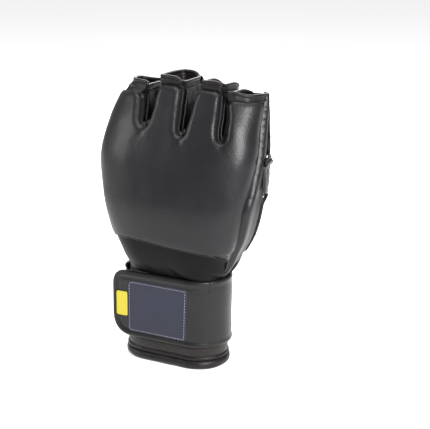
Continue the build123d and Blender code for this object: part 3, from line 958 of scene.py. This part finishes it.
thumb_hole = [
    palm(53, 121.5), side(19.5, 124), strip_edge(120), strip_edge(113), strip_edge(106), strip_edge(98),
    strip_edge(91), strip_edge(84.5), palm(42, 79.5), palm(31, 77), palm(19, 76), palm(11, 81.5),
    palm(27, 98)
]
line = rounded(unwrapped(thumb_hole), 4)
o = tube(
    "thumb_hole_binding_edge", on_chart(line, -0.5, chart=palm_chart, closed=True), 1.3, BINDING,
    closed=True, sides=12
)
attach(o, "hand")
finish_piece(o, "binding", "thumb_hole_binding")
open_line = [
    strip_edge(149.6), palm(53.7, 150), palm(44, 153), palm(33.7, 155.6), palm(22, 157.8), palm(9.7, 159.8),
    palm(-10, 161.2), palm(-34, 161.5), palm(-40.5, 157), palm(-41, 138), palm(-36, 113), palm(-22, 97),
    palm(-6, 86.5), palm(15.6, 102), palm(36, 123.5), palm(51, 138), palm(54.5, 142.5), strip_edge(146.8)
]
o = tube(
    "palm_opening_binding_edge",
    on_chart(rounded(unwrapped(open_line), 4), -0.2, chart=palm_chart, closed=True), 1.35, BINDING,
    closed=True, sides=12
)
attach(o, "hand")
finish_piece(o, "binding", "palm_opening_binding")
for name, line, h0 in (
    ("palm_edge_stitches", [(53, 153.8), (44, 156.4), (33.7, 159), (9.7, 163), (-34, 165)], 0.7),
    ("band_upper_stitches", [(-4, 84.5), (15.6, 97.5), (36, 118.5), (52, 134)], 0.6),
    ("band_lower_stitches", [(14, 88), (28, 101.5), (45, 117.5), (53, 125.5)], 0.6),
):
    o = stitches(
        name, on_chart(unwrapped([palm(x, z) for x, z in line]), h0, chart=palm_chart), THREAD, pitch=2.8,
        width=0.25
    )
    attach(o, "hand")
    finish_piece(o, "binding")

# a soft ring of leather at the wrist fold, inside the outer panels
zs = np.linspace(60, 75, 10)
ts = np.linspace(-1, 1, 100, endpoint=False)
verts = np.array(
    [OUTER.point(ts, np.full_like(ts, z)) - OUTER.normal(ts, np.full_like(ts, z)) * 3.6 for z in zs]
).reshape(-1, 3)
o = make("wrist_crease_leather", verts, grid_faces(len(zs), len(ts), round_columns=True), SOFT)
m = o.modifiers.new("thick", "SOLIDIFY")
m.thickness = 0.0012
at_wrist(o)
finish_piece(o, "soft_leather", "wrist_crease")

# ------------------------------------------------------------------ cuff
CUFF_A, CUFF_B = 36.5, 19.5


def stadium(q, offset):
    """A point on the cuff's oval; q is its run in millimetres from the back's middle round the thumb side."""
    half, r = CUFF_A - CUFF_B, CUFF_B
    arc = math.pi * r
    total = 4 * half + 2 * arc
    q = np.mod(q, total)
    off = np.broadcast_to(offset, q.shape)
    x, y = np.zeros_like(q), np.zeros_like(q)
    nx, ny = np.zeros_like(q), np.zeros_like(q)
    for lo_q, kind in (
        (0, "back+"), (half, "arc+"), (half + arc, "palm"), (3 * half + arc, "arc-"),
        (3 * half + 2 * arc, "back-")
    ):
        size = {"back+": half, "arc+": arc, "palm": 2 * half, "arc-": arc, "back-": half}[kind]
        k = (q >= lo_q) & (q <= lo_q + size)
        u = q[k] - lo_q
        if kind == "back+":
            x[k], y[k], nx[k], ny[k] = u, -r, 0, -1
        elif kind == "back-":
            x[k], y[k], nx[k], ny[k] = -half + u, -r, 0, -1
        elif kind == "palm":
            x[k], y[k], nx[k], ny[k] = half - u, r, 0, 1
        else:
            w = -math.pi / 2 + u / r if kind == "arc+" else math.pi / 2 + u / r
            c = half if kind == "arc+" else -half
            nx[k], ny[k] = np.cos(w), np.sin(w)
            x[k], y[k] = c + r * nx[k], r * ny[k]
    return np.stack([x + nx * off, y + ny * off], -1), np.stack([nx, ny], -1)


CUFF_RUN = 4 * (CUFF_A - CUFF_B) + 2 * math.pi * CUFF_B


def ring(name, profile, look, relief=0.0):
    """A closed section (offset, height) swept round the cuff."""
    qs = np.linspace(0, CUFF_RUN, int(CUFF_RUN / 1.6), endpoint=False)
    rows = []
    for off, z in profile:
        xy, normal = stadium(qs, off)
        p = np.column_stack([xy, np.full(len(qs), z)])
        if relief:
            p[:, :2] += normal * wobble(p, 12, relief, off)[:, None]
        rows.append(p)
    faces = grid_faces(len(rows), len(qs), round_columns=True, round_rows=True)
    o = make(name, np.vstack(rows), faces, look)
    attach(o, "cuff")
    return o


def circle(cx, cz, rx, rz, n=18):
    return [
        (cx + rx * math.cos(w), cz + rz * math.sin(w))
        for w in np.linspace(0, 2 * math.pi, n, endpoint=False)
    ]


o = ring(
    "cuff_shell_leather",
    [(0.1, 1.2), (0.1, 16), (0.1, 40), (0.1, 66.6), (-1.5, 66.8), (-1.6, 40), (-1.6, 1.2)], SOFT, 0.15
)
finish_piece(o, "glove_leather", "cuff_shell")
o = ring("cuff_lining_cloth", [(-1.7, 0.9), (-1.7, 67), (-2.6, 67), (-2.6, 0.9)], RIB)
finish_piece(o, "lining_fabric", "cuff_lining")
o = ring("cuff_hem_roll", circle(0.2, 3.3, 3.1, 3.3), SOFT, 0.5)
finish_piece(o, "binding", "cuff_hem")
o = ring("cuff_hem_upper_roll", circle(-0.2, 8.0, 2.6, 1.9, 14), SOFT, 0.35)
finish_piece(o, "binding")
o = ring("cuff_band_elastic", [(0, 8.5), (1.3, 9.3), (1.55, 12), (1.4, 15), (1.6, 17.5), (0, 18)], RIB, 0.3)
finish_piece(o, "elastic_band", "cuff_band")

# ------------------------------------------------------------------ strap
STRAP_OUT, STRAP_THICK, Z_LOW, Z_HIGH = 4.1, 2.4, 17.0, 66.8
HALF = CUFF_A - CUFF_B
R_OUT = CUFF_B + STRAP_OUT


def strap_chart(P):
    """Strap pattern: the run of the outer face from x 0 on the back, thumbward, and straight on the other way."""
    P = np.asarray(P, float)
    q, z = P[:, 0], P[:, 1]
    arc = math.pi * R_OUT
    x, y, nx, ny = (np.zeros_like(q) for _ in range(4))
    k = q <= HALF
    x[k], y[k], nx[k], ny[k] = q[k], -R_OUT, 0, -1
    k = (q > HALF) & (q <= HALF + arc)
    w = -math.pi / 2 + (q[k] - HALF) / R_OUT
    nx[k], ny[k] = np.cos(w), np.sin(w)
    x[k], y[k] = HALF + R_OUT * nx[k], R_OUT * ny[k]
    k = (q > HALF + arc) & (q <= 3 * HALF + arc)
    x[k], y[k], nx[k], ny[k] = HALF - (q[k] - HALF - arc), R_OUT, 0, 1
    k = q > 3 * HALF + arc
    w = math.pi / 2 + (q[k] - 3 * HALF - arc) / R_OUT
    nx[k], ny[k] = np.cos(w), np.sin(w)
    x[k], y[k] = -HALF + R_OUT * nx[k], R_OUT * ny[k]
    return np.stack([x, y, z], -1), np.stack([nx, ny, np.zeros_like(nx)], -1)


def strap_height(P, end=None):
    """Bound edges with two stitched grooves, and a gentle dish between them; end is where the strap stops."""
    edge = np.minimum(P[:, 1] - Z_LOW, Z_HIGH - P[:, 1])
    d = edge if end is None else np.minimum(edge, end - P[:, 0])
    h = round_edge(d, 1.3, 1.3) + 0.45 * np.exp(-(((edge - 2.2) / 1.3) ** 2))
    return h - (0.75 * np.exp(-(((edge - 4.6) / 0.55) ** 2)) + 0.5 * np.exp(-(((edge - 7.2) / 0.5) ** 2)))


FOLD_A = HALF + R_OUT * math.pi / 4
FOLD_B = HALF + R_OUT * 3 * math.pi / 4
ROOT_END = 3 * HALF + math.pi * R_OUT + R_OUT * 0.62 * math.pi


def strap_piece(name, outline, out, step=1.5, relief=0.5, look=STRAP, inner=-STRAP_THICK):
    return panel(
        name, outline, look, out, inner, strap_chart, step=step, rings=(
            0.3, 0.8, 1.5
        ), relief=relief, grain=24, seed=31.0
    )


def strip_outline(q0, q1):
    return [(q0, Z_LOW), (q1, Z_LOW), (q1, Z_HIGH), (q0, Z_HIGH)]


o = strap_piece(
    "strap_root_leather", strip_outline(FOLD_B, ROOT_END), out=lambda P, d: strap_height(P, ROOT_END)
)
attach(o, "cuff")
finish_piece(o, "strap_leather", "strap_root")
o = strap_piece("strap_side_leather", strip_outline(FOLD_A, FOLD_B), out=lambda P, d: strap_height(P))
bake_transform(o)
finish_piece(o, "strap_leather", "strap_side")
FLAP_END = -41.0
flap = rounded([(FLAP_END, Z_LOW), (FOLD_A, Z_LOW), (FOLD_A, Z_HIGH), (FLAP_END, Z_HIGH)], [17, 0, 0, 11])


def flap_height(P, d):
    plain = strap_height(P)
    shape = round_edge(d, 1.4, 1.4) + 0.9 * np.exp(-(((d - 2.2) / 1.5) ** 2)) - 0.9 * np.exp(
        -(((d - 4.9) / 0.6) ** 2)
    )
    w = np.clip((27 - P[:, 0]) / 6, 0, 1)
    return shape * w + plain * (1 - w)


o = strap_piece("strap_flap_leather", flap, out=flap_height, step=1.35)
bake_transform(o)
finish_piece(o, "strap_leather", "strap_flap", "strap_binding")
LABEL = rounded([(-28, 21.6), (18.6, 21.6), (19.6, 60.5), (-28, 60.5)], [2, 1.5, 1.5, 4])
o = strap_piece(
    "strap_label_patch", LABEL, out=lambda P, d: 0.55 + round_edge(d, 0.5, 0.4), inner=-0.5, look=PATCH,
    relief=0.15
)
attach(o, "strap_end")
finish_piece(o, "label_patch", "strap_label")
inset = rounded([(-26.6, 23), (17.2, 23), (18.2, 59.1), (-26.6, 59.1)], [1.5, 1, 1, 3])
o = stitches(
    "strap_label_stitches", on_chart(inset, 0.72, chart=strap_chart, closed=True), PATCH_THREAD, pitch=2.1,
    length=1.3, width=0.28, closed=True
)
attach(o, "strap_end")
finish_piece(o, "label_patch")
o = strap_piece(
    "strap_size_tag", rounded([(-37, 33), (-28.4, 33), (-28.4, 51), (-37, 51)], 0.6), out=lambda P,
    d: 1.35 + round_edge(d, 0.4, 0.3), inner=-0.4, look=TAG, relief=0.12
)
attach(o, "strap_end")
finish_piece(o, "size_tag", "strap_tag")
o = strap_piece(
    "strap_hook_pad", rounded([(-34, 24), (14, 24), (14, 60), (-34, 60)], 2), out=-2.3, inner=-3.2,
    look=HOOK, relief=0
)
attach(o, "strap_end")
finish_piece(o, "hook_pile", "strap_hook_patch")


def cuff_chart(P):
    P = np.asarray(P, float)
    xy, nn = stadium(P[:, 0], 0.0)
    return np.column_stack([xy, P[:, 1]]), np.column_stack([nn, np.zeros(len(P))])


o = panel(
    "cuff_loop_pad", rounded([(-34, 24), (14, 24), (14, 60), (-34, 60)], 2), PILE, chart=cuff_chart,
    out=lambda P, d: 0.8 + round_edge(d, 0.6, 0.5), inner=0.0, step=1.6, relief=0.15
)
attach(o, "cuff")
finish_piece(o, "loop_pile", "cuff_loop_patch")

# ------------------------------------------------------------------ floor, light and camera
TARGET = Vector((0, 0, 0.100))


def area(name, place, aim, size, power):
    lamp = bpy.data.lights.new(name, "AREA")
    lamp.shape = "RECTANGLE"
    lamp.size, lamp.size_y = size
    lamp.energy = power
    o = bpy.data.objects.new(name, lamp)
    o.location = place
    o.rotation_mode = "QUATERNION"
    o.rotation_quaternion = (Vector(aim) - Vector(place)).to_track_quat("-Z", "Y")
    bpy.context.scene.collection.objects.link(o)


white = bpy.data.materials.new("floor_look")
white.use_nodes = True
shader = white.node_tree.nodes["Principled BSDF"]
shader.inputs["Base Color"].default_value = (0.9, 0.9, 0.9, 1)
shader.inputs["Roughness"].default_value = 0.75
shader.inputs["Emission Color"].default_value = (1, 1, 1, 1)
shader.inputs["Emission Strength"].default_value = 0.5
bpy.ops.mesh.primitive_plane_add(size=24, location=(0, 0, -0.0002))
floor = bpy.context.object
floor.name = "floor"
floor.data.materials.append(white)

world = bpy.data.worlds.new("studio")
bpy.context.scene.world = world
world.use_nodes = True
world.node_tree.nodes["Background"].inputs["Color"].default_value = (1, 1, 1, 1)
world.node_tree.nodes["Background"].inputs["Strength"].default_value = 0.36
area("key", (0.95, -0.6, 0.75), (0, 0, 0.14), (0.4, 0.5), 27)
area("fill", (-0.9, -0.5, 0.6), (0, 0, 0.1), (0.5, 0.7), 7)
area("top", (0.1, 0.1, 1.1), (0, 0, 0.1), (0.8, 0.8), 9)
area("palm_side", (-0.3, 0.9, 0.6), (0, 0, 0.1), (0.7, 0.7), 9)

camera = bpy.data.cameras.new("camera")
camera.sensor_width = 36
camera.lens = 96.3
camera.shift_x, camera.shift_y = 0.0858, 0.020
camera.clip_start, camera.clip_end = 0.05, 60
view = bpy.data.objects.new("camera", camera)
bpy.context.scene.collection.objects.link(view)
azimuth, elevation, reach = math.radians(28), math.radians(17), 0.815
direction = Vector(
    (math.sin(azimuth) * math.cos(elevation), -math.cos(azimuth) * math.cos(elevation), math.sin(elevation))
)
view.location = TARGET + direction * reach
view.rotation_mode = "QUATERNION"
view.rotation_quaternion = (-direction).to_track_quat("-Z", "Y")
bpy.context.scene.camera = view
bpy.context.scene.view_settings.view_transform = "Standard"
